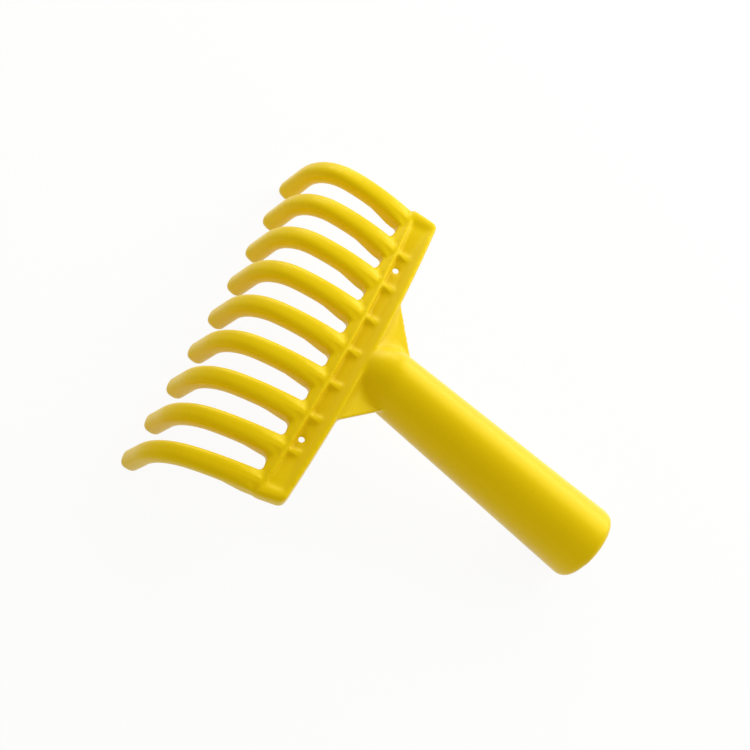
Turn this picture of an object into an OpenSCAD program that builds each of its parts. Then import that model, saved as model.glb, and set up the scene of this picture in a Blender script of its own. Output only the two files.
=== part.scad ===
// Hand rake for stripping olives from the branch: a plastic moulding with nine bent tines
// on an arched bar and a hollow tapered handle. It is divided at its own feature lines.
// Head frame: x along the bar, y towards the tine tips, z out of the ribbed face, with the
// origin on the tray floor, at the inner face of the rear rim, in the middle of the bar.
// The finished rake is laid down so that the end tines and the handle mouth touch z = 0.

/* [Tines] */
// Distance between neighbouring tines along the bar
tine_pitch = 20; // [18.5:0.5:22]
// Width of a tine at its root
root_width = 11.4; // [10:0.2:12.6]
// Thickness of a tine at its root
root_thickness = 8.6; // [8:0.2:9.4]
// Width of a tine at its tip
tip_width = 9.4; // [8.4:0.2:10.4]
// Thickness of a tine at its tip
tip_thickness = 9.6; // [8.6:0.2:10.4]
// Upward angle at which a tine leaves the bar
root_rise = 13; // [9:0.5:16]
// Length of the gently drooping run of a tine
run_length = 31; // [26:0.5:38]
// Angle the run droops by
run_droop = 20; // [14:0.5:25]
// Radius of the bend, on the tine's centre line
bend_radius = 25.6; // [20:0.4:30]
// Angle of the bend
bend_angle = 64.5; // [56:0.5:70]
// Length of the straight tip after the bend
tip_length = 15.6; // [10:0.4:20]
// Outward turn of the end tines
fan_angle = 8.5; // [6:0.5:10]
// Sideways lean of the end tines
lean_angle = 8.5; // [5:0.5:10]

/* [Bar] */
// Drop of the end tines' roots below the middle of the bar
end_drop = 4.1; // [2:0.1:6]
// Forward sweep of the end tines' roots from the middle of the bar
end_sweep = 2.9; // [1:0.1:4.5]
// Width of the tray floor, front to back
tray_width = 9.4; // [8:0.2:12]
// Depth of the bar's underside below its middle surface
bar_depth = 2.4; // [1.8:0.1:3.2]
// Height of the tray floor above the bar's middle surface
floor_rise = 1.2; // [0.4:0.1:1.8]
// Thickness of the rear rim
rim_width = 2.6; // [2:0.1:3.4]
// Extra thickness of the rear rim at the tray floor
rim_foot = 2; // [1:0.1:3]
// Height of the rear rim above the bar's middle surface
rim_height = 6.4; // [5.4:0.1:7.4]
// Thickness of the long rib
rib_width = 2; // [1.6:0.1:2.8]
// Height of the long rib above the bar's middle surface
rib_height = 5.4; // [5:0.1:6.2]
// Width of the strip between the long rib and the gap ends
strip_width = 3.9; // [3:0.1:5]
// Height of the strip above the bar's middle surface, where the gaps end
strip_height = 3.8; // [3.2:0.1:4.2]
// Thickness of a cross rib at its top
cross_rib_width = 1.5; // [1.2:0.1:2.2]
// Thickness of a cross rib at the tray floor
cross_rib_base = 7; // [5:0.2:9]
// Fall of a cross rib's top from the long rib to the rear rim
cross_rib_fall = 1.4; // [0.4:0.1:2]
// Thickness of an end wall
end_wall_width = 4; // [3:0.1:5]
// Extra thickness of an end wall at the tray floor
end_wall_foot = 3; // [2:0.2:4]
// Radius of the bar's rear corners
corner_radius = 4; // [3:0.2:5]
// Radius in the corners of the gap ends
gap_radius = 2.8; // [2:0.1:3.4]
// Diameter of the two holes in the tray floor
hole_diameter = 3; // [2.4:0.1:3.6]
// Distance between the two holes
hole_spacing = 105.5; // [99:0.5:109]

/* [Handle] */
// Downward angle of the handle behind the bar
handle_angle = 23; // [16:0.5:28]
// Length of the handle from the bar's rear wall to the mouth
handle_length = 143.6; // [110:0.2:170]
// Outside diameter of the handle's cone at the bar's rear wall
neck_diameter = 29.9; // [28.6:0.1:32]
// Outside diameter of the handle at its mouth
mouth_diameter = 38.2; // [36:0.2:42]
// Wall thickness at the mouth
mouth_wall = 4.4; // [3.4:0.1:5]
// Radius of the mouth's outer edge
mouth_round = 4; // [2:0.1:4.2]
// Height of the handle's axis above the tray floor, at the rear wall
axis_height = 0.2; // [-0.8:0.1:1.2]
// Distance the rounded nose reaches ahead of the rear wall
nose_lead = 2.5; // [1.5:0.1:4]
// Diameter of the pole that fits the socket
pole_diameter = 24; // [22:0.2:24.4]
// Radial clearance around the pole
pole_clearance = 0.25; // [0.1:0.05:0.4]
// Length of the parallel seat for the pole
seat_length = 27; // [18:0.5:36]
// Half the span of the two side webs along the bar
gusset_span = 34.3; // [28:0.2:40]
// Reach of the side webs along the handle
gusset_reach = 16.7; // [13:0.1:22]
// Thickness of the side webs
gusset_thickness = 3.2; // [2.4:0.1:4]

/* [Hidden] */
tine_count = 9;
end_x = tine_pitch * (tine_count - 1) / 2;
plastic = [0.86, 0.7, 0.03];
$fn = 64;

// The bar follows a circle in a plane tilted forward, so its ends drop and sweep at once
end_sag = norm([end_drop, end_sweep]);
arch_tilt = atan2(end_sweep, end_drop);
arch_radius = (end_x ^ 2 + end_sag ^ 2) / (2 * end_sag);
end_turn = asin(end_x / arch_radius);
arch_reach = end_turn + 3;
arch_fragments = 720;
far = 60;

// Places across the bar, front to back
rear_y = -rim_width;
strip_y = tray_width + rib_width;
gap_y = strip_y + strip_width;
hole_margin = 1.2;
rim_round = 1;
rib_round = 0.7;
rib_step = 0.5;
hole_y = station_origin(hole_spacing / 2).y + tray_width - hole_diameter / 2 - hole_margin;

// The tine's centre line runs at the height that brings its crest to the long rib's top
crest_lift = 0.05;
axis_z = rib_height - root_thickness / 2 + strip_width * tan(root_rise) + crest_lift;
bend_length = bend_radius * bend_angle * PI / 180;
axis_length = run_length + bend_length + tip_length;
root_margin = 0.6;
root_flat = gap_radius + root_margin;
cap_radius = 0.45 * min(tip_width, tip_thickness);
crest_power = 2.7;
crest_spread = 0.8;
ridge_height = 1.4;
ridge_reach = 3.6;
ridge_keep = 0.3;
ridge_ease = 8;
belly_share = 0.8;
belly_ease = 12;
root_edge = 0.4;
corner_steps = 5;
crest_steps = 2 * corner_steps + 1;
ring_size = crest_steps + 1 + 2 * (corner_steps + 1);

// Bar ends: the outer face is the end tine's side, and the rear face crosses it at this angle
end_skew = fan_angle + atan2(sin(end_turn) * sin(arch_tilt), cos(end_turn));
corner_x = root_width / 2 - corner_radius;
corner_y = rear_y + (corner_radius + corner_x * sin(end_skew)) / cos(end_skew);
wall_round_share = 0.6;
wall_round = end_wall_width * wall_round_share;

// Handle: radii along its axis, counted from the bar's rear wall
taper = (mouth_diameter - neck_diameter) / 2 / (handle_length - mouth_round);
nose_s = (neck_diameter / 2 - nose_lead) / (1 - taper);
nose_radius = nose_s + nose_lead;
seat_radius = pole_diameter / 2 + pole_clearance;
seat_lag = 2.5;
seat_s = nose_s + seat_lag;
mouth_bore = mouth_diameter / 2 - mouth_wall;
gusset_lift = 0.8;
gusset_overlap = 10;

function turn_about_y(a, v) = [v.x * cos(a) + v.z * sin(a), v.y, v.z * cos(a) - v.x * sin(a)];
function turn_about_z(a, v) = [v.x * cos(a) - v.y * sin(a), v.x * sin(a) + v.y * cos(a), v.z];

// Stations along the bar: each tine and gap has a frame of its own
function tine_x(k) = end_x - (k - 1) * tine_pitch;
function station_origin(x) = let (sag = arch_radius - sqrt(arch_radius ^ 2 - x ^ 2))
    [x, sag * sin(arch_tilt), -sag * cos(arch_tilt)];
function station_turn(x, v) = turn_about_y(lean_angle * x / end_x, turn_about_z(-fan_angle * x / end_x, v));
function station_point(x, v) = station_origin(x) + station_turn(x, v);

// Where the bar's cross-section point (y, z) comes to lie at station x, and the bar's own y there
function arch_out(x) = let (a = asin(x / arch_radius)) [sin(a), -cos(a) * sin(arch_tilt), cos(a) * cos(arch_tilt)];
function arch_along() = [0, cos(arch_tilt), sin(arch_tilt)];
function arch_centre() = arch_radius * [0, sin(arch_tilt), -cos(arch_tilt)];
function arch_point(x, y, z) = arch_centre()
    + (arch_radius - y * sin(arch_tilt) + z * cos(arch_tilt)) * arch_out(x)
    + (y * cos(arch_tilt) + z * sin(arch_tilt)) * arch_along();
function arch_forward(x) = cos(arch_tilt) * arch_along() - sin(arch_tilt) * arch_out(x);

// Tine centre line in its station's y-z plane: [y, z, angle] at length s from the gap end
function along_arc(from, s, radius) = let (a = from[2], b = a - s / radius * 180 / PI)
    [from[0] + radius * (sin(a) - sin(b)), from[1] + radius * (cos(b) - cos(a)), b];
function along_line(from, s) = [from[0] + s * cos(from[2]), from[1] + s * sin(from[2]), from[2]];
run_radius = run_length / (run_droop * PI / 180);
axis_root = [gap_y, axis_z, root_rise];
axis_bend = along_arc(axis_root, run_length, run_radius);
axis_tip = along_arc(axis_bend, bend_length, bend_radius);
function axis_at(s) = s < run_length ? along_arc(axis_root, s, run_radius)
    : s < run_length + bend_length ? along_arc(axis_bend, s - run_length, bend_radius)
    : along_line(axis_tip, s - run_length - bend_length);

// Tine section: a round crest above, and edges with the belly radius below. At the root, where
// ridge is 1, the crest narrows to a ridge between shoulders that are level with the webs
function mixed(a, b, share) = a + (b - a) * share;
function eased(share) = share <= 0 ? 0 : share >= 1 ? 1 : share * share * (3 - 2 * share);
function crest_z(across, width, up, ridge) = let (
        share = min(1, abs(across) / (width / 2)),
        round_z = up * pow(1 - pow(share, crest_power), 1 / crest_power),
        ridge_z = up - ridge_height * eased(abs(across) / ridge_reach))
    mixed(round_z, ridge_z, ridge);
function corner(across, out, radius, from) =
    [for (i = [0 : corner_steps]) let (a = from + 90 * i / corner_steps)
        [across + radius * cos(a), out + radius * sin(a)]];
function section(width, up, down, ridge, belly) = concat(
    [for (i = [0 : crest_steps]) let (
            a = 180 * i / crest_steps,
            across = width / 2 * sign(cos(a)) * pow(abs(cos(a)), crest_spread))
        [across, crest_z(across, width, up, ridge)]],
    corner(belly - width / 2, belly - down, belly, 180),
    corner(width / 2 - belly, belly - down, belly, 270));

// First ring: lies in the long rib's front face, flush with the rib's top and the bar's underside
function root_ring(x) = let (
        middle = axis_z - strip_width * tan(root_rise),
        forward = arch_forward(x),
        face = arch_point(x, strip_y, 0),
        step = station_turn(x, [0, 1, 0]))
    [for (p = section(root_width, rib_height - middle, middle + bar_depth, 1, root_edge))
        let (q = station_point(x, [p[0], 0, middle + p[1]]))
        q + step * (forward * (face - q)) / (forward * step)];

// Other rings: square to the centre line; shrink and ahead shape the rounded end
function tine_ring(x, s, shrink, ahead) = let (
        c = axis_at(s),
        share = max(0, s - root_flat) / (axis_length - root_flat),
        half = mixed(root_thickness, tip_thickness, share) / 2,
        width = mixed(root_width, tip_width, share),
        ridge = ridge_keep * (1 - eased((s - root_flat) / ridge_ease)),
        belly = mixed(root_edge, belly_share * half, eased((s - root_flat) / belly_ease)))
    [for (p = section(width, half, half, ridge, belly))
        station_point(x, [p[0] * shrink,
            c[0] + ahead * cos(c[2]) - p[1] * shrink * sin(c[2]),
            c[1] + ahead * sin(c[2]) + p[1] * shrink * cos(c[2])])];

run_steps = 5;
bend_steps = 8;
cap_angles = [32, 58, 82];
ring_lengths = concat(
    [for (i = [0 : run_steps]) mixed(root_flat, run_length, i / run_steps)],
    [for (i = [1 : bend_steps]) run_length + bend_length * i / bend_steps],
    [axis_length]);
function tine_rings(x) = concat(
    [root_ring(x)],
    [for (s = ring_lengths) tine_ring(x, s, 1, 0)],
    [for (a = cap_angles) tine_ring(x, axis_length, cos(a), cap_radius * sin(a))]);

// Rest on the end tines and on the handle's mouth: the line that touches both from below
mouth_s = handle_length - mouth_round;
mouth_ring = mouth_diameter / 2 - mouth_round;
mouth_centre = [rear_y - mouth_s * cos(handle_angle), axis_height - mouth_s * sin(handle_angle)];
mouth_low = mouth_centre + mouth_ring * [sin(handle_angle), -cos(handle_angle)];
tip_axis = axis_at(axis_length);
tip_centre = station_point(end_x, [0, tip_axis[0], tip_axis[1]]);
rest_span = [tip_centre.y, tip_centre.z] - mouth_low;
rest_tilt = atan2(rest_span[1], rest_span[0]) + asin((mouth_round - cap_radius) / norm(rest_span));
rest_lift = mouth_low * [-sin(rest_tilt), cos(rest_tilt)] - mouth_round;
rest_back = mouth_centre * [cos(rest_tilt), sin(rest_tilt)] - mouth_round
    - mouth_ring * abs(sin(handle_angle - rest_tilt));
rest_front = max([for (x = [0 : tine_pitch : end_x], ring = tine_rings(x), p = ring)
    p.y * cos(rest_tilt) + p.z * sin(rest_tilt)]);

module laid_down()
    translate([0, -(rest_front + rest_back) / 2, -rest_lift]) rotate([-rest_tilt, 0, 0]) children();

module at_station(x)
    translate(station_origin(x)) rotate([0, lean_angle * x / end_x, 0])
        rotate([0, 0, -fan_angle * x / end_x]) children();

// Sweeps a cross-section of the bar along its arch; the section has z across and y up
module arched()
    translate(arch_centre()) rotate([arch_tilt - 90, 0, 0]) rotate([0, 0, -90 - arch_reach])
        rotate_extrude(angle = 2 * arch_reach, $fn = arch_fragments)
            translate([arch_radius, 0]) rotate(arch_tilt) children();

module upright() translate([0, 0, -far]) linear_extrude(2 * far) children();

// Plan of all that lies inside the bar's right end, with its rounded rear corner
module end_plan() {
    tangent = corner_radius * sin(end_skew);
    translate([-4 * far, -far]) square([4 * far + corner_x + tangent, 2 * far]);
    translate([corner_x, corner_y]) {
        square([corner_radius, far]);
        circle(corner_radius);
    }
}
module inside_ends() intersection() {
    at_station(end_x) upright() end_plan();
    mirror([1, 0, 0]) at_station(end_x) upright() end_plan();
}
// All that lies inside the sloping inner face of the right end wall, then between both end walls
function wall_x(z) = root_width / 2 - end_wall_width - end_wall_foot * (rim_height - z) / (rim_height - floor_rise);
module inside_wall() rotate([90, 0, 0]) linear_extrude(3 * far, center = true)
    polygon([[-4 * far, -far], [wall_x(-far), -far], [wall_x(far), far], [-4 * far, far]]);
module between_walls() intersection_for(side = [0, 1])
    mirror([side, 0, 0]) at_station(end_x) inside_wall();

// The webs' top slopes from just under the long rib's top down to the gap ends
module strip_section() {
    web_y = gap_y + root_flat;
    slope = (rib_height - rib_step - strip_height) / strip_width;
    polygon([
        [-bar_depth, strip_y],
        [rib_height - rib_step, strip_y],
        [strip_height - slope * root_flat, web_y],
        [axis_z - root_thickness / 2 + root_flat * tan(root_rise), web_y]]);
}
gap_overlap = 0.25;
module gap_plan() {
    half = (tine_pitch - root_width) / 2 + gap_overlap;
    translate([-half, gap_y + gap_radius]) square([2 * half, far]);
    translate([gap_radius - half, gap_y]) square([2 * (half - gap_radius), far]);
    for (side = [-1, 1]) translate([side * (half - gap_radius), gap_y + gap_radius]) circle(gap_radius);
}

module tray_floor() color(plastic) laid_down() difference() {
    intersection() {
        arched() translate([-bar_depth, rear_y]) square([bar_depth + floor_rise, strip_y - rear_y]);
        inside_ends();
    }
    for (side = [-1, 1]) translate([side * hole_spacing / 2, hole_y, -far])
        cylinder(h = 2 * far, d = hole_diameter);
}

module root_slot(k) at_station(tine_x(k))
    translate([-root_width / 2, -far, -far]) cube([root_width, 2 * far, 2 * far]);

// Web between the roots of tine k and the next one, with a rounded gap end
module tine_web(k) color(plastic) laid_down() difference() {
    intersection() {
        arched() strip_section();
        at_station(tine_x(k + 0.5)) upright()
            translate([-tine_pitch / 2, 0]) square([tine_pitch, gap_y + gap_radius]);
    }
    root_slot(k);
    root_slot(k + 1);
    at_station(tine_x(k + 0.5)) upright() gap_plan();
}

module tine(k) {
    rings = tine_rings(tine_x(k));
    last = len(rings) - 1;
    sides = [for (i = [0 : last - 1], j = [0 : ring_size - 1], half = [0, 1])
        let (a = i * ring_size + j, b = i * ring_size + (j + 1) % ring_size)
        half == 0 ? [a, b, a + ring_size] : [b, b + ring_size, a + ring_size]];
    ends = [[for (j = [ring_size - 1 : -1 : 0]) j],
        [for (j = [0 : ring_size - 1]) last * ring_size + j]];
    color(plastic) laid_down() polyhedron([for (ring = rings) each ring], concat(sides, ends));
}

// Section of a wall or rib that stands on the tray floor and has rounded top edges
edge_steps = 4;
function edge_arc(z, y, radius, from) =
    [for (i = [0 : edge_steps]) let (a = from - 90 * i / edge_steps) [z + radius * cos(a), y + radius * sin(a)]];
module ridge_section(from_y, width, height, radius, foot) polygon(concat(
    [[floor_rise, from_y], [floor_rise, from_y + width + foot]],
    edge_arc(height - radius, from_y + width - radius, radius, 90),
    edge_arc(height - radius, from_y + radius, radius, 0)));

module front_rib() color(plastic) laid_down() intersection() {
    arched() ridge_section(tray_width, rib_width, rib_height, rib_round, 0);
    between_walls();
}

module rear_rim() color(plastic) laid_down() intersection() {
    arched() ridge_section(rear_y, rim_width, rim_height, rim_round, rim_foot);
    between_walls();
}

// End wall: its top slopes from the rear corner to the end tine's root, with a rounded outer edge
module end_wall_right() color(plastic) laid_down() difference() {
    intersection() {
        arched() polygon([[floor_rise, rear_y], [floor_rise, strip_y], [rib_height, strip_y], [rim_height, rear_y]]);
        at_station(end_x) upright() end_plan();
        at_station(end_x) translate([root_width / 2 - wall_round, far, rim_height - wall_round])
            rotate([90, 0, 0]) linear_extrude(2 * far) {
                translate([-far, -far]) square([far, 2 * far]);
                translate([-far, -far]) square([far + wall_round, far]);
                circle(wall_round);
            }
    }
    at_station(end_x) inside_wall();
}
module end_wall_left() mirror([1, 0, 0]) end_wall_right();

// Cross rib: carries a tine's crest on from the long rib to the rear rim; it is wider at its foot
module cross_rib(k) color(plastic) laid_down() intersection() {
    top = rib_height - rib_round;
    rear_top = top - cross_rib_fall;
    rear_foot = rim_foot * (rim_height - rim_round - rear_top) / (rim_height - rim_round - floor_rise);
    slope = (cross_rib_base - cross_rib_width) / 2 / (top - floor_rise);
    foot = cross_rib_base / 2 + slope * (floor_rise + bar_depth);
    crown = cross_rib_width / 2 - slope * rib_round;
    arched() polygon([[floor_rise, rim_foot], [floor_rise, tray_width], [top, tray_width], [rear_top, rear_foot]]);
    at_station(tine_x(k)) rotate([90, 0, 0]) linear_extrude(2 * far, center = true)
        polygon([[-foot, -bar_depth], [foot, -bar_depth], [crown, rib_height], [-crown, rib_height]]);
}

module at_handle() translate([0, rear_y, axis_height]) rotate([90 + handle_angle, 0, 0]) children();
module handle_outline() {
    intersection() {
        translate([0, nose_s]) circle(nose_radius);
        translate([0, -far]) square([far, far + nose_s]);
    }
    polygon([[0, nose_s], [nose_radius, nose_s], [mouth_diameter / 2, mouth_s], [0, mouth_s]]);
    translate([0, mouth_s]) square([mouth_ring, mouth_round]);
    intersection() {
        translate([mouth_ring, mouth_s]) circle(mouth_round);
        translate([0, mouth_s]) square([far, mouth_round]);
    }
}
module bore_outline() {
    intersection() {
        translate([0, seat_s]) circle(seat_radius);
        square([far, seat_s]);
    }
    translate([0, seat_s]) square([seat_radius, seat_length]);
    polygon([[0, seat_s + seat_length], [seat_radius, seat_s + seat_length],
        [mouth_bore, handle_length], [mouth_bore, handle_length + 1], [0, handle_length + 1]]);
}
// All that lies ahead of the bar's rear wall
module ahead_of_rear() arched() translate([-far, rear_y]) square([2 * far, 2 * far]);

module handle_socket() color(plastic) laid_down() difference() {
    at_handle() rotate_extrude() difference() {
        handle_outline();
        bore_outline();
    }
    ahead_of_rear();
}

// Side web: a flat plate in the angle between the bar's rear wall and the handle
module gusset_right() color(plastic) laid_down() difference() {
    reach_x = nose_radius + taper * (gusset_reach - nose_s);
    slope = (gusset_span - reach_x) / gusset_reach;
    at_handle() translate([0, gusset_lift + gusset_thickness / 2, 0]) rotate([90, 0, 0])
        linear_extrude(gusset_thickness)
            polygon([
                [0, -gusset_overlap],
                [gusset_span + gusset_overlap * slope, -gusset_overlap],
                [reach_x, gusset_reach],
                [0, gusset_reach]]);
    at_handle() rotate_extrude() handle_outline();
    ahead_of_rear();
}
module gusset_left() mirror([1, 0, 0]) gusset_right();

tray_floor();
front_rib();
rear_rim();
end_wall_right();
end_wall_left();
cross_rib(2);  // cross_rib_2
cross_rib(3);  // cross_rib_3
cross_rib(4);  // cross_rib_4
cross_rib(5);  // cross_rib_5
cross_rib(6);  // cross_rib_6
cross_rib(7);  // cross_rib_7
cross_rib(8);  // cross_rib_8
tine_web(1);  // tine_web_1
tine_web(2);  // tine_web_2
tine_web(3);  // tine_web_3
tine_web(4);  // tine_web_4
tine_web(5);  // tine_web_5
tine_web(6);  // tine_web_6
tine_web(7);  // tine_web_7
tine_web(8);  // tine_web_8
tine(1);  // tine_1
tine(2);  // tine_2
tine(3);  // tine_3
tine(4);  // tine_4
tine(5);  // tine_5
tine(6);  // tine_6
tine(7);  // tine_7
tine(8);  // tine_8
tine(9);  // tine_9
handle_socket();
gusset_right();
gusset_left();
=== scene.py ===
import math

import bmesh
import bpy
import numpy as np
from mathutils import Matrix, Vector


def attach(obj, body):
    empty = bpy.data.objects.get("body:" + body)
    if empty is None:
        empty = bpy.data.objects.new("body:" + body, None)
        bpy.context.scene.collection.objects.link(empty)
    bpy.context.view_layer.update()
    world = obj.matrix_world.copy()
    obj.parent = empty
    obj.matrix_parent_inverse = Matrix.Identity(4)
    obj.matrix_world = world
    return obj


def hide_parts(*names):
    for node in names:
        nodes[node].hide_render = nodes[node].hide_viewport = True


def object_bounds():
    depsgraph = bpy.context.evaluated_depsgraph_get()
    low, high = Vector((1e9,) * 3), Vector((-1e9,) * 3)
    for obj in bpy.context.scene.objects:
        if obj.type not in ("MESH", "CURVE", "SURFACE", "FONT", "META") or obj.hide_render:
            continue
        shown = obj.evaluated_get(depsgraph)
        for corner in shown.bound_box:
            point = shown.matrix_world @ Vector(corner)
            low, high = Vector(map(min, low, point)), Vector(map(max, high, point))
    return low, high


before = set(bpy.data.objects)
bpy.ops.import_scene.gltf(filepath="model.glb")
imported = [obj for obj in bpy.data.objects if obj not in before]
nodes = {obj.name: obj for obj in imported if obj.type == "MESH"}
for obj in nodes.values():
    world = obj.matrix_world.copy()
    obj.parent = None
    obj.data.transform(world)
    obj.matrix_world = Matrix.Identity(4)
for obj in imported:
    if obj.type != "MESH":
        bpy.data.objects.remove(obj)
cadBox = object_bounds()
scene = bpy.context.scene
scene.view_settings.view_transform = "Standard"
print("stage: frame loaded,", len(nodes), "nodes")


# Camera: long lens from above the tray, as in the photograph
cameraSet = {
    "place": (-0.98624, 0.25499, 1.70376),
    "turn": (23.727, -21.1881, -63.4921),  # degrees
    "lens": 197.5,
    "sensor": 36.0,
    "farthest": 20,
}


def addCamera(s):
    data = bpy.data.cameras.new("rakeCamera")
    data.lens = s["lens"]
    data.sensor_width = s["sensor"]
    data.clip_end = s["farthest"]
    camera = bpy.data.objects.new("rakeCamera", data)
    camera.location = s["place"]
    camera.rotation_euler = [math.radians(a) for a in s["turn"]]
    scene.collection.objects.link(camera)
    scene.camera = camera


addCamera(cameraSet)
print("stage: camera set")


# Head: the bar and the tines in their own frame, as they are before the rake is laid down
headSet = {
    "tilt": 9.7355,  # how far the head leans when the rake lies down, degrees
    "shift": (0, 0.03676, 0.050091),
    "tines": 9,
    "pitch": 0.020,
    "fan": 8.5,  # of the end tines, degrees
    "lean": 8.5,
    "archRadius": 0.6397,
    "archTilt": 35.27,  # the arch's plane leans forward, degrees
}
head = Matrix.Translation(headSet["shift"]) @ Matrix.Rotation(-math.radians(headSet["tilt"]), 4, "X")
headBack = head.inverted()
headTurn = head.to_3x3()
middleTine = (headSet["tines"] + 1) // 2
tineNumbers = range(1, headSet["tines"] + 1)
tineNames = ["tine_%d" % k for k in tineNumbers]
handleNames = ["handle_socket", "gusset_right", "gusset_left"]
barNames = [n for n in nodes if n not in tineNames + handleNames]


# How far the bar's arch has gone forward and down at x
def archSag(s, x):
    sag = s["archRadius"] - math.sqrt(s["archRadius"] ** 2 - x * x)
    tilt = math.radians(s["archTilt"])
    return sag * math.sin(tilt), sag * math.cos(tilt)


def tineStation(s, k):
    x = (middleTine - k) * s["pitch"]
    share = x / ((middleTine - 1) * s["pitch"])
    forward, down = archSag(s, x)
    place = Matrix.Translation((x, forward, -down))
    lean = Matrix.Rotation(math.radians(s["lean"]) * share, 4, "Y")
    fan = Matrix.Rotation(-math.radians(s["fan"]) * share, 4, "Z")
    return head @ place @ lean @ fan


def joinedCopy(name, meshes):
    bm = bmesh.new()
    for mesh in meshes:
        bm.from_mesh(mesh)
    mesh = bpy.data.meshes.new(name)
    bm.to_mesh(mesh)
    bm.free()
    piece = bpy.data.objects.new(name, mesh)
    scene.collection.objects.link(piece)
    return piece


def applyModifiers(piece):
    graph = bpy.context.evaluated_depsgraph_get()
    mesh = bpy.data.meshes.new_from_object(piece.evaluated_get(graph))
    piece.modifiers.clear()
    piece.data = mesh


def relaxSurface(piece, rounds, factor):
    relax = piece.modifiers.new("relax", "SMOOTH")
    relax.factor = factor
    relax.iterations = rounds
    applyModifiers(piece)


def growTogether(piece, voxel, rounds, factor):
    remesh = piece.modifiers.new("remesh", "REMESH")
    remesh.mode = "VOXEL"
    remesh.voxel_size = voxel
    relaxSurface(piece, rounds, factor)


def everything(bm):
    return list(bm.verts) + list(bm.edges) + list(bm.faces)


def openEdges(bm):
    return [e for e in bm.edges if e.is_boundary]


# Only the part between two cuts across x or y is kept; triangles close it and leave the bore open
def keepBand(piece, way, band):
    bm = bmesh.new()
    bm.from_mesh(piece.data)
    for far, side in zip(band, (-1, 1)):
        point = head @ (Vector(way) * far)
        normal = headTurn @ Vector(way) * side
        bmesh.ops.bisect_plane(bm, geom=everything(bm), plane_co=point, plane_no=normal, clear_outer=True)
        bmesh.ops.triangle_fill(bm, edges=openEdges(bm), normal=normal, use_beauty=True)
    bm.to_mesh(piece.data)
    bm.free()


# Voxel growth can leave tiny closed bubbles where two nodes touch
def keepLargestShell(piece):
    bm = bmesh.new()
    bm.from_mesh(piece.data)
    bm.verts.ensure_lookup_table()
    seen = [False] * len(bm.verts)
    shells = []
    for first in bm.verts:
        if seen[first.index]:
            continue
        seen[first.index] = True
        shell = [first]
        for v in shell:
            for e in v.link_edges:
                w = e.other_vert(v)
                if not seen[w.index]:
                    seen[w.index] = True
                    shell.append(w)
        shells.append(shell)
    shells.sort(key=len)
    for shell in shells[:-1]:
        bmesh.ops.delete(bm, geom=shell, context="VERTS")
    bm.to_mesh(piece.data)
    bm.free()
    print("  shells dropped:", len(shells) - 1)


# Nose: the handle's round end runs through the rear rim and out over it
noseSet = {
    "radius": 0.01533,
    "fineness": 5,
    "place": (0, -0.01441, -0.00481),
    "stretch": 1.25,  # forward over the rim
    "cuts": (((0, -0.010, 0), (0, 1, 0)), ((0, 0, -0.0022), (0, 0, 1))),  # kept ahead and above
}


def noseBall(s):
    bm = bmesh.new()
    bmesh.ops.create_icosphere(bm, subdivisions=s["fineness"], radius=s["radius"])
    bmesh.ops.scale(bm, verts=bm.verts, vec=(1, s["stretch"], 1))
    bmesh.ops.translate(bm, verts=bm.verts, vec=s["place"])
    for point, way in s["cuts"]:
        bmesh.ops.bisect_plane(bm, geom=everything(bm), plane_co=point, plane_no=way, clear_inner=True)
        bmesh.ops.holes_fill(bm, edges=openEdges(bm), sides=0)
    bmesh.ops.recalc_face_normals(bm, faces=bm.faces)
    bmesh.ops.transform(bm, verts=bm.verts, matrix=head)
    mesh = bpy.data.meshes.new("noseBall")
    bm.to_mesh(mesh)
    bm.free()
    return mesh


# Tray: shallower than the solids, as the shading in the photograph shows it
traySet = {
    "width": 0.0094,
    "floorLift": (0.0025, 0.0007),  # at the rear and at the front
    "endLift": 0.0018,  # and this much more at the ends
    "endRun": (0.060, 0.078),
    "rimSteps": ((0.0008, 0.0006), (0.0018, 0.0012), (0.0030, 0.0019)),  # inward and down
    "endSteps": ((0.0014, 0.0005), (0.0030, 0.0010)),
    "endGrow": 0.0010,  # the bar's ends stand out past the end tines
}
wallInward = {"rear_rim": (0, 1), "end_wall_right": (-1, 0), "end_wall_left": (1, 0)}


def movedNode(name, way):
    mesh = nodes[name].data.copy()
    mesh.transform(Matrix.Translation(headTurn @ Vector(way)))
    return mesh


def shareAlong(value, start, end):
    return min(max((value - start) / (end - start), 0), 1)


# Only the floor's top is lifted
def raisedFloor(s):
    mesh = nodes["tray_floor"].data.copy()
    rear, front = s["floorLift"]
    for v in mesh.vertices:
        p = headBack @ v.co
        forward, down = archSag(headSet, p.x)
        if p.z + down > 0:
            towardsFront = shareAlong(p.y - forward, 0, s["width"])
            towardsEnd = shareAlong(abs(p.x), *s["endRun"])
            p.z += rear + (front - rear) * towardsFront + s["endLift"] * towardsEnd
            v.co = head @ p
    return mesh


# The walls step down to the lifted floor; smoothing turns the steps into slopes
def trayFilling(s):
    filling = [raisedFloor(s)]
    for name, (x, y) in wallInward.items():
        for inward, down in s["endSteps"] if x else s["rimSteps"]:
            filling.append(movedNode(name, (x * inward, y * inward, -down)))
    return filling


def grownEnds(s):
    ends = []
    for name, inward in wallInward.items():
        outward = -inward[0] * s["endGrow"]
        if outward:
            ends.append(movedNode(name, (outward, 0, 0)))
            ends.append(movedNode("tray_floor", (outward, 0, 0)))
    return ends


# Holes: straight at the top and wider below, so that light comes through
holeSet = {
    "spacing": 0.1055,
    "y": 0.00796,
    "profile": ((0.012, 0.0015), (0, 0.0015), (-0.012, 0.0095)),  # height and radius
    "sides": 40,
}


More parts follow.
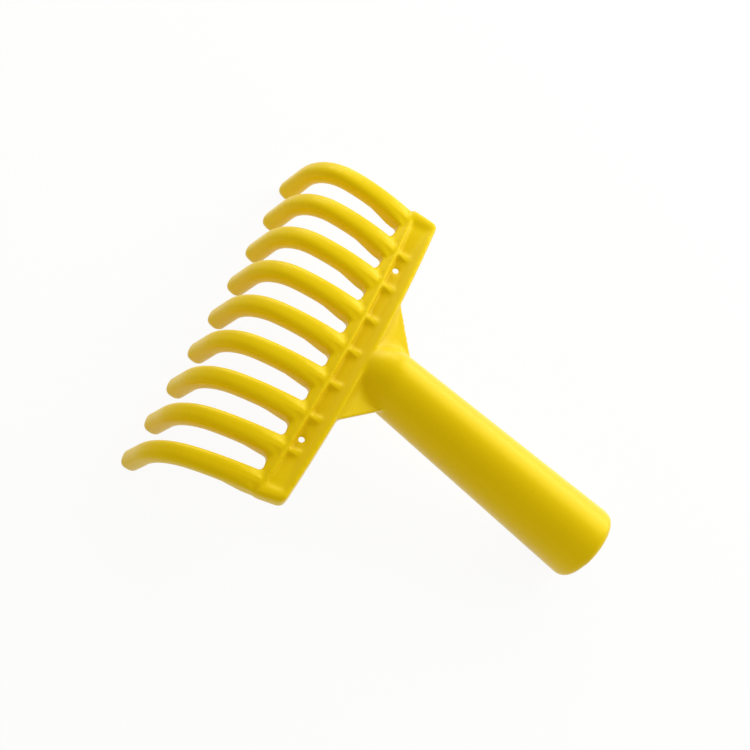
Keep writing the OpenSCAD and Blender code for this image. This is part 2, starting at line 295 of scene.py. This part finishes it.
def drillHole(skin, s, side):
    sides = s["sides"]
    points = []
    for z, radius in s["profile"]:
        for i in range(sides):
            a = 2 * math.pi * i / sides
            points.append((radius * math.cos(a), radius * math.sin(a), z))
    bottom = range(len(points) - sides, len(points))
    faces = [list(range(sides)), list(reversed(bottom))]
    for start in range(0, len(points) - sides, sides):
        for i in range(sides):
            a = start + i
            b = start + (i + 1) % sides
            faces.append((b, a, a + sides, b + sides))
    mesh = bpy.data.meshes.new("drill")
    mesh.from_pydata(points, [], faces)
    mesh.transform(head @ Matrix.Translation((side * s["spacing"] / 2, s["y"], 0)))
    drill = bpy.data.objects.new("drill", mesh)
    scene.collection.objects.link(drill)
    cut = skin.modifiers.new("drill", "BOOLEAN")
    cut.operation = "DIFFERENCE"
    cut.solver = "MANIFOLD"
    cut.object = drill
    applyModifiers(skin)
    bpy.data.objects.remove(drill)


def vectorsOf(rows, label):
    values = np.zeros(len(rows) * 3, np.float32)
    rows.foreach_get(label, values)
    return values.reshape(-1, 3)


# Every point's height over a softened copy is kept, so that the painted highlight can follow the edges
def markEdges(skin, rounds, factor):
    softened = joinedCopy("softened", [skin.data])
    relaxSurface(softened, rounds, factor)
    gap = vectorsOf(skin.data.vertices, "co") - vectorsOf(softened.data.vertices, "co")
    stand = (gap * vectorsOf(skin.data.vertex_normals, "vector")).sum(1)
    kept = skin.data.attributes.new("edgeStand", "FLOAT", "POINT")
    kept.data.foreach_set("value", stand)
    bpy.data.objects.remove(softened)


# Skin: the nodes grown together into one moulding, with fillets in its corners
# Relax values are rounds of smoothing, and bands are in the head's own frame
skinSet = {
    "voxel": 0.00045,
    "quickVoxel": 0.0009,
    "relaxFactor": 0.5,
    "bodyRelax": 60,  # the fillets in general
    "wallRelax": 16,  # the rim's edges are rounder than the ribs'
    "wallBand": (-0.0770, 0.0770),  # outside this the bar's ends are rounder again
    "wallDepth": (-0.0120, 0.0125),
    "mouthBand": (-0.2000, -0.1380),  # the mouth keeps its edge
    "dishRelax": 25,  # on top of the body's: the tray's walls run out softly
    "dishBand": (-0.0036, 0.0125),
    "blendRelax": 320,  # on top of the body's: the handle runs into the gussets and the rim
    "blendBand": (-0.040, 0.0015),
    "edgeRelax": 6,  # the last rounds, which leave the ribs crisp
    "standRelax": 20,  # for the softened copy that edges are measured against
}


def makeSkin(s):
    voxel = s["voxel"]
    factor = s["relaxFactor"]
    acrossX = (1, 0, 0)
    acrossY = (0, 1, 0)

    # Coarser voxels need fewer rounds for the same fillet
    def rounds(label):
        return max(1, round(s[label] * (s["voxel"] / voxel) ** 2))

    whole = [o.data for o in nodes.values()] + [noseBall(noseSet)] + grownEnds(traySet)
    walls = joinedCopy("walls", whole)
    growTogether(walls, voxel, rounds("wallRelax"), factor)
    keepBand(walls, acrossX, s["wallBand"])
    keepBand(walls, acrossY, s["wallDepth"])
    mouth = joinedCopy("mouth", [nodes["handle_socket"].data])
    keepBand(mouth, acrossY, s["mouthBand"])
    body = joinedCopy("body", whole + trayFilling(traySet))
    growTogether(body, voxel, rounds("bodyRelax"), factor)
    dish = joinedCopy("dish", [body.data])
    relaxSurface(dish, rounds("dishRelax"), factor)
    keepBand(dish, acrossY, s["dishBand"])
    blend = joinedCopy("blend", [body.data])
    relaxSurface(blend, rounds("blendRelax"), factor)
    keepBand(blend, acrossY, s["blendBand"])

    softNames = list(wallInward) + ["tray_floor", "handle_socket"]
    crisp = [o.data for n, o in nodes.items() if n not in softNames]
    copies = (walls, mouth, body, dish, blend)
    skin = joinedCopy("skin", crisp + [c.data for c in copies])
    for copy in copies:
        bpy.data.objects.remove(copy)
    growTogether(skin, voxel, rounds("edgeRelax"), factor)
    keepLargestShell(skin)
    for side in (-1, 1):
        drillHole(skin, holeSet, side)
    markEdges(skin, rounds("standRelax"), factor)
    return skin


skin = makeSkin(skinSet)
print("stage: skin grown,", len(skin.data.vertices), "points")


# Cuts: one behind the bar and one across each tine, just past the ends of the gaps
cutSet = {
    "tineCut": (0, 0.0188, 0.0028),
    "tineReach": 0.010,
    "handleCut": (0, -0.0036, 0),
    "handleReach": (0.045, 0.004, 0.030),
    "tightness": 1e-7,
    "barDepth": 0.02,  # pieces whose middle lies further out are the handle and the tines
    "spread": 1.06,  # the tines' middles lie further apart than their roots
}


def cutOpen(bm, s, faces, point, normal):
    verts = {v for f in faces for v in f.verts}
    edges = {e for f in faces for e in f.edges}
    geom = list(verts) + list(edges) + list(faces)
    cut = bmesh.ops.bisect_plane(bm, geom=geom, dist=s["tightness"], plane_co=point, plane_no=normal)
    line = [e for e in cut["geom_cut"] if isinstance(e, bmesh.types.BMEdge)]
    bmesh.ops.split_edges(bm, edges=line)


def cutPieces(skin, s):
    bm = bmesh.new()
    bm.from_mesh(skin.data)
    keptNormal = bm.verts.layers.float_vector.new("keptNormal")
    for v in bm.verts:
        v[keptNormal] = v.normal
    forward = Vector((0, 1, 0))
    for k in tineNumbers:
        station = tineStation(headSet, k)
        point = station @ Vector(s["tineCut"])
        near = [f for f in bm.faces if (f.calc_center_median() - point).length < s["tineReach"]]
        cutOpen(bm, s, near, point, station.to_3x3() @ forward)
    middle = Vector(s["handleCut"])
    near = []
    for f in bm.faces:
        d = headBack @ f.calc_center_median() - middle
        if all(abs(d[i]) < s["handleReach"][i] for i in range(3)):
            near.append(f)
    cutOpen(bm, s, near, head @ middle, headTurn @ forward)
    capMark = bm.faces.layers.int.new("capMark")
    for f in bmesh.ops.holes_fill(bm, edges=openEdges(bm), sides=0)["faces"]:
        f[capMark] = 1
    bmesh.ops.recalc_face_normals(bm, faces=bm.faces)
    bm.to_mesh(skin.data)
    bm.free()
    bpy.ops.object.select_all(action="DESELECT")
    skin.select_set(True)
    bpy.context.view_layer.objects.active = skin
    bpy.ops.object.mode_set(mode="EDIT")
    bpy.ops.mesh.select_all(action="SELECT")
    bpy.ops.mesh.separate(type="LOOSE")
    bpy.ops.object.mode_set(mode="OBJECT")
    return list(bpy.context.selected_objects)


# Each piece keeps the uncut skin's normals, so that no cut shows
def keepNormals(piece):
    mesh = piece.data
    mesh.shade_smooth()
    kept = vectorsOf(mesh.attributes["keptNormal"].data, "vector")
    owner = np.zeros(len(mesh.loops), np.int32)
    mesh.loops.foreach_get("vertex_index", owner)
    normals = kept[owner]
    marks = mesh.attributes["capMark"].data
    for poly in mesh.polygons:
        if marks[poly.index].value:
            normals[poly.loop_start:poly.loop_start + poly.loop_total] = poly.normal
    mesh.normals_split_custom_set(normals.tolist())
    for label in ("keptNormal", "capMark"):
        mesh.attributes.remove(mesh.attributes[label])


def namePieces(parts, s):
    named = {}
    for part in parts:
        points = np.array([v.co for v in part.data.vertices])
        spot = headBack @ Vector((points.min(0) + points.max(0)) / 2)
        if spot.y < -s["barDepth"]:
            part.name = "handle"
        elif spot.y > s["barDepth"]:
            part.name = "rake_tine_%d" % round(middleTine - spot.x / (headSet["pitch"] * s["spread"]))
        else:
            part.name = "bar"
        part.data.name = part.name
        named[part.name] = part
    return named


pieces = namePieces(cutPieces(skin, cutSet), cutSet)
for piece in pieces.values():
    keepNormals(piece)
print("stage: pieces cut,", sorted(pieces))


# Finish and painted light: flow, grain and scuff left by moulding, with painted shade in recesses and a
# painted highlight on edges, as values from 0 to 1
finishAndPaintedLightSet = {
    "inputs": (
        ("Flow Scale", 22.0),
        ("Grain Scale", 1500.0),
        ("Scuff Scale", 260.0),
        ("Recess Reach", 0.007),
        ("Edge Start", 0.00016),  # heights over the softened skin
        ("Edge Full", 0.0006),
    ),
    "noises": (("Flow", 3, 0.5), ("Grain", 2, 0.6), ("Scuff", 6, 0.75)),  # detail and roughness
    "recessSamples": 12,
    "recessRange": (0.97, 0.62),  # openness where a recess starts, and where it is full
    "levelRange": (0.70, 0.92),  # how far a face looks up: only floors count as recesses
}


def setRange(node, start, end):
    node.inputs["From Min"].default_value = start
    node.inputs["From Max"].default_value = end


def finishAndPaintedLightGroup(s):
    group = bpy.data.node_groups.new("finishAndPaintedLight", "ShaderNodeTree")
    link = group.links.new
    for label, start in s["inputs"]:
        socket = group.interface.new_socket(label, in_out="INPUT", socket_type="NodeSocketFloat")
        socket.default_value = start
    for label in ("Flow", "Grain", "Scuff", "Recess", "Edge"):
        group.interface.new_socket(label, in_out="OUTPUT", socket_type="NodeSocketFloat")
    enter = group.nodes.new("NodeGroupInput")
    leave = group.nodes.new("NodeGroupOutput")
    coords = group.nodes.new("ShaderNodeTexCoord")
    for label, detail, rough in s["noises"]:
        noise = group.nodes.new("ShaderNodeTexNoise")
        noise.inputs["Detail"].default_value = detail
        noise.inputs["Roughness"].default_value = rough
        link(coords.outputs["Object"], noise.inputs["Vector"])
        link(enter.outputs[label + " Scale"], noise.inputs["Scale"])
        link(noise.outputs["Fac"], leave.inputs[label])

    # Recess: painted shade, strongest where ambient occlusion is high on up-facing faces such as the
    # tray's floor
    openness = group.nodes.new("ShaderNodeAmbientOcclusion")
    openness.samples = s["recessSamples"]
    recess = group.nodes.new("ShaderNodeMapRange")
    setRange(recess, *s["recessRange"])
    geometry = group.nodes.new("ShaderNodeNewGeometry")
    upward = group.nodes.new("ShaderNodeSeparateXYZ")
    level = group.nodes.new("ShaderNodeMapRange")
    setRange(level, *s["levelRange"])
    floors = group.nodes.new("ShaderNodeMath")
    floors.operation = "MULTIPLY"
    link(enter.outputs["Recess Reach"], openness.inputs["Distance"])
    link(openness.outputs["AO"], recess.inputs["Value"])
    link(geometry.outputs["Normal"], upward.inputs["Vector"])
    link(upward.outputs["Z"], level.inputs["Value"])
    link(recess.outputs["Result"], floors.inputs[0])
    link(level.outputs["Result"], floors.inputs[1])
    link(floors.outputs["Value"], leave.inputs["Recess"])

    # Edge: painted highlight where the surface stands out over its softened copy, on rims and rib tops
    stand = group.nodes.new("ShaderNodeAttribute")
    stand.attribute_name = "edgeStand"
    edge = group.nodes.new("ShaderNodeMapRange")
    link(stand.outputs["Fac"], edge.inputs["Value"])
    link(enter.outputs["Edge Start"], edge.inputs["From Min"])
    link(enter.outputs["Edge Full"], edge.inputs["From Max"])
    link(edge.outputs["Result"], leave.inputs["Edge"])
    return group


# Plastic: yellow, with a soft gloss, painted shade in recesses and a painted highlight on edges
plasticSet = {
    "color": (0.88, 0.62, 0.004, 1),
    "deepColor": (0.82, 0.55, 0.002, 1),
    "recessColor": (0.66, 0.40, 0.001, 1),  # painted shade in the tray's floor and other up-facing recesses
    "edgeColor": (0.97, 0.78, 0.016, 1),  # painted highlight along rims, rib tops and other convex edges
    "roughness": (0.25, 0.37),
    "scuffRange": (0.3, 0.7),
    "specular": 0.42,
    "specularTint": (1, 0.8, 0.02, 1),
    "grainStrength": 0.05,
    "grainDepth": 0.0001,
}


def plasticMaterial(name, s, finishAndLightGroup):
    material = bpy.data.materials.new(name)
    material.use_nodes = True
    tree = material.node_tree
    link = tree.links.new
    shader = tree.nodes["Principled BSDF"]
    shader.inputs["Specular IOR Level"].default_value = s["specular"]
    shader.inputs["Specular Tint"].default_value = s["specularTint"]
    look = tree.nodes.new("ShaderNodeGroup")
    look.node_tree = finishAndLightGroup
    color = None
    # Flow varies the yellow at random; Recess paints shade into the floors and Edge paints a highlight
    # onto the edges
    for label, key in (("Flow", "color"), ("Recess", "recessColor"), ("Edge", "edgeColor")):
        tint = tree.nodes.new("ShaderNodeMix")
        tint.data_type = "RGBA"
        tint.inputs["A"].default_value = s["deepColor"]
        tint.inputs["B"].default_value = s[key]
        link(look.outputs[label], tint.inputs["Factor"])
        if color:
            link(color, tint.inputs["A"])
        color = tint.outputs["Result"]
    link(color, shader.inputs["Base Color"])
    gloss = tree.nodes.new("ShaderNodeMapRange")
    setRange(gloss, *s["scuffRange"])
    gloss.inputs["To Min"].default_value, gloss.inputs["To Max"].default_value = s["roughness"]
    link(look.outputs["Scuff"], gloss.inputs["Value"])
    link(gloss.outputs["Result"], shader.inputs["Roughness"])
    bump = tree.nodes.new("ShaderNodeBump")
    bump.inputs["Strength"].default_value = s["grainStrength"]
    bump.inputs["Distance"].default_value = s["grainDepth"]
    link(look.outputs["Grain"], bump.inputs["Height"])
    link(bump.outputs["Normal"], shader.inputs["Normal"])
    return material


yellowPlastic = plasticMaterial("yellowPlastic", plasticSet, finishAndPaintedLightGroup(finishAndPaintedLightSet))
for name, piece in pieces.items():
    piece.data.materials.clear()
    piece.data.materials.append(yellowPlastic)
    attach(piece, "root")
    if name == "bar":
        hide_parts(*barNames)
    elif name == "handle":
        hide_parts(*handleNames)
    else:
        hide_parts(name.replace("rake_", ""))
print("stage: plastic finished")


# Stage: white floor that keeps a light shadow, soft light from the +X side
stageSet = {
    "floorHalf": 6.0,
    "floorGap": 0.0002,
    "floorColor": (0.92, 0.92, 0.92, 1),
    "shadowShare": 0.08,
    "ambient": 0.56,
    "ambientColor": (1, 0.96, 0.92, 1),
    "lamps": (  # name, power, size, place, color
        ("key", 6.5, 0.75, (0.69, -0.37, 0.47), (0.90, 1, 0.82)),
        ("rim", 2.8, 0.55, (0.74, 0.42, 0.28), (0.92, 1, 0.86)),
    ),
}


# White to the camera, in reflections and through clear pieces
def seenWhite(tree):
    path = tree.nodes.new("ShaderNodeLightPath")
    total = path.outputs["Is Camera Ray"]
    for label in ("Is Glossy Ray", "Is Transmission Ray"):
        either = tree.nodes.new("ShaderNodeMath")
        either.operation = "MAXIMUM"
        tree.links.new(total, either.inputs[0])
        tree.links.new(path.outputs[label], either.inputs[1])
        total = either.outputs["Value"]
    return total


def addFloor(s):
    mesh = bpy.data.meshes.new("floor")
    h = s["floorHalf"]
    mesh.from_pydata([(-h, -h, 0), (h, -h, 0), (h, h, 0), (-h, h, 0)], [], [(0, 1, 2, 3)])
    floor = bpy.data.objects.new("floor", mesh)
    floor.location.z = cadBox[0][2] - s["floorGap"]
    scene.collection.objects.link(floor)
    material = bpy.data.materials.new("whiteFloor")
    material.use_nodes = True
    tree = material.node_tree
    tree.nodes.remove(tree.nodes["Principled BSDF"])
    matte = tree.nodes.new("ShaderNodeBsdfDiffuse")
    matte.inputs["Color"].default_value = s["floorColor"]
    glow = tree.nodes.new("ShaderNodeEmission")
    seen = tree.nodes.new("ShaderNodeMath")
    seen.operation = "MULTIPLY"
    seen.inputs[1].default_value = 1 - s["shadowShare"]
    mix = tree.nodes.new("ShaderNodeMixShader")
    tree.links.new(seenWhite(tree), seen.inputs[0])
    tree.links.new(seen.outputs["Value"], mix.inputs["Fac"])
    tree.links.new(matte.outputs["BSDF"], mix.inputs[1])
    tree.links.new(glow.outputs["Emission"], mix.inputs[2])
    tree.links.new(mix.outputs["Shader"], tree.nodes["Material Output"].inputs["Surface"])
    mesh.materials.append(material)


def addLight(s):
    world = bpy.data.worlds.new("studio")
    world.use_nodes = True
    scene.world = world
    tree = world.node_tree
    ambient = tree.nodes["Background"]
    ambient.inputs["Color"].default_value = s["ambientColor"]
    ambient.inputs["Strength"].default_value = s["ambient"]
    white = tree.nodes.new("ShaderNodeBackground")
    white.inputs["Color"].default_value = (1, 1, 1, 1)
    mix = tree.nodes.new("ShaderNodeMixShader")
    tree.links.new(seenWhite(tree), mix.inputs["Fac"])
    tree.links.new(ambient.outputs["Background"], mix.inputs[1])
    tree.links.new(white.outputs["Background"], mix.inputs[2])
    tree.links.new(mix.outputs["Shader"], tree.nodes["World Output"].inputs["Surface"])
    for name, power, size, place, color in s["lamps"]:
        data = bpy.data.lights.new(name, "AREA")
        data.energy = power
        data.size = size
        data.color = color
        lamp = bpy.data.objects.new(name, data)
        lamp.location = place
        lamp.rotation_euler = (-Vector(place)).to_track_quat("-Z", "Y").to_euler()
        scene.collection.objects.link(lamp)


addFloor(stageSet)
addLight(stageSet)
print("stage: floor and light set")
